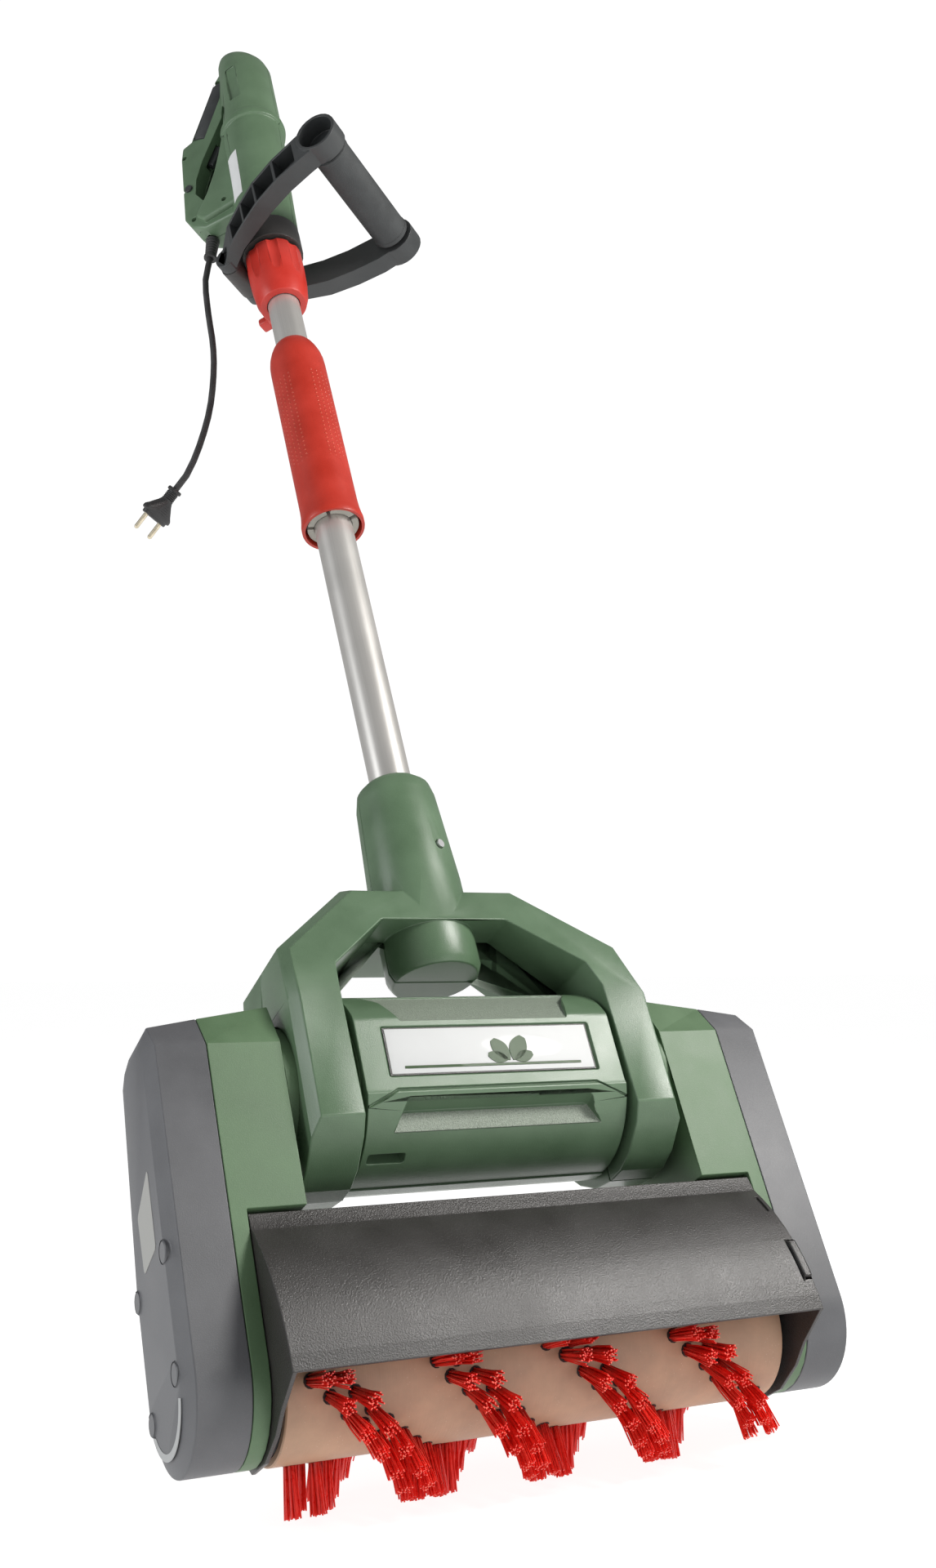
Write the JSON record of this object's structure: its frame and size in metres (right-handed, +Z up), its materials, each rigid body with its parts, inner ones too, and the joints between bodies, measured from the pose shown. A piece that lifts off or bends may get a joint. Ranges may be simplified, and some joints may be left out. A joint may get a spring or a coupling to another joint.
{
  "type": "powered lawn brush",
  "caption": "Electric lawn brush on a telescopic pole: motor head with guarded bristle roller, tilting fork, twist locks, adjustable front handle, rear loop grip and mains lead.",
  "frame": {"origin": "on the floor under the middle of the machine, measured without its lead", "axes": "+X along the roller to the machine's left end as the user sees it from behind is -X; +Y from the roller towards the user; +Z up"},
  "size_m": [0.422, 0.6738, 1.1619],
  "materials": {
    "housing_green": "moulded plastic with a fine grain",
    "cover_grey": "moulded plastic with a fine grain",
    "guard_black": "moulded plastic with a fine grain",
    "grip_grey": "moulded plastic, slightly rough",
    "soft_grip": "soft-touch rubber",
    "control_red": "satin plastic",
    "tube_alloy": "drawn tube, satin anodised",
    "collet_grey": "natural nylon",
    "bristle_red": "nylon filaments",
    "core_tan": "cast polymer, slightly mottled",
    "label_white": "glossy sticker with no lettering",
    "steel": "machined steel",
    "windings": "varnished copper windings on a steel core",
    "belt_rubber": "toothed rubber belt",
    "cable_grey": "rubber cable sheath",
    "pin_brass": "bare brass pins"
  },
  "bodies": {
    "head": {"motor_shell_front": "housing_green", "motor_shell_rear": "housing_green", "side_housing_left": "housing_green", "side_housing_right": "housing_green", "end_cover_left": "cover_grey", "end_cover_right": "cover_grey", "cover_screw_1": "steel", "cover_screw_2": "steel", "cover_screw_3": "steel", "cover_screw_4": "steel", "brush_guard": "guard_black", "label_plate": "label_white", "motor_stator": "steel", "rotor_bearing_left": "steel", "rotor_bearing_right": "steel", "brush_bearing_left": "steel", "brush_bearing_right": "steel", "drive_belt": "belt_rubber"},
    "brush": {"brush_core": "core_tan", "brush_hub_left": "grip_grey", "brush_hub_right": "grip_grey", "brush_shaft": "steel", "brush_pulley": "steel", "bristle_spiral_1": "bristle_red", "bristle_spiral_2": "bristle_red", "bristle_spiral_3": "bristle_red", "bristle_spiral_4": "bristle_red"},
    "rotor": {"rotor_shaft": "steel", "armature": "windings", "cooling_fan": "grip_grey", "motor_pulley": "steel"},
    "fork": {"fork_front": "housing_green", "fork_rear": "housing_green", "lower_tube": "tube_alloy", "tube_collet": "collet_grey", "socket_screw": "steel"},
    "lock": {"lock_sleeve": "control_red"},
    "upper": {"upper_tube": "tube_alloy", "clamp_ring": "guard_black", "handle_shell_left": "housing_green", "handle_shell_right": "housing_green", "soft_grip": "soft_grip", "switch_block": "grip_grey", "strain_relief": "cable_grey", "cord": "cable_grey", "plug": "guard_black", "plug_pin_a": "pin_brass", "plug_pin_b": "pin_brass"},
    "collar": {"collar_nut": "control_red"},
    "front_handle": {"front_handle_arm_left": "grip_grey", "front_handle_arm_right": "grip_grey", "front_handle_bar": "grip_grey", "clamp_bolt": "steel"},
    "knob": {"wing_knob": "control_red"},
    "trigger": {"trigger": "control_red"},
    "button": {"lock_button": "grip_grey"}
  },
  "joints": [
    {"name": "brush_spin", "type": "hinge", "parent": "head", "child": "brush", "pos_m": [0, -0.26526, 0.069], "axis": [1, 0, 0], "continuous": true},
    {"name": "rotor_spin", "type": "hinge", "parent": "head", "child": "rotor", "pos_m": [0, -0.18628, 0.21387], "axis": [1, 0, 0], "continuous": true},
    {"name": "fork_tilt", "type": "hinge", "parent": "head", "child": "fork", "pos_m": [0, -0.18628, 0.21387], "axis": [1, 0, 0], "range_deg": [-40, 20]},
    {"name": "lock_twist", "type": "hinge", "parent": "fork", "child": "lock", "pos_m": [0, 0.09136, 0.7231], "axis": [0, 0.4787, 0.878], "range_deg": [0, 60]},
    {"name": "pole_slide", "type": "slide", "parent": "fork", "child": "upper", "axis": [0, 0.4787, 0.878], "range_m": [-0.05, 0.15]},
    {"name": "collar_turn", "type": "hinge", "parent": "upper", "child": "collar", "pos_m": [0, 0.17992, 0.88552], "axis": [0, 0.4787, 0.878], "range_deg": [0, 90]},
    {"name": "front_handle_swing", "type": "hinge", "parent": "upper", "child": "front_handle", "pos_m": [-0.02045, 0.21741, 0.90153], "axis": [0.7771, 0.5525, -0.3013], "range_deg": [-40, 30]},
    {"name": "knob_turn", "type": "hinge", "parent": "front_handle", "child": "knob", "pos_m": [0.02462, 0.24946, 0.88406], "axis": [0.7771, 0.5525, -0.3013], "continuous": true},
    {"name": "trigger_pull", "type": "slide", "parent": "upper", "child": "trigger", "axis": [-0.5167, 0.8335, 0.1959], "range_m": [0, 0.004], "stiffness_N_per_m": 1500},
    {"name": "button_push", "type": "slide", "parent": "upper", "child": "button", "axis": [0.7771, 0.5525, -0.3013], "range_m": [0, 0.003], "stiffness_N_per_m": 1500}
  ],
  "couplings": [
    {"joint": "rotor_spin", "follows": "brush_spin", "ratio": 3.0909}
  ]
}
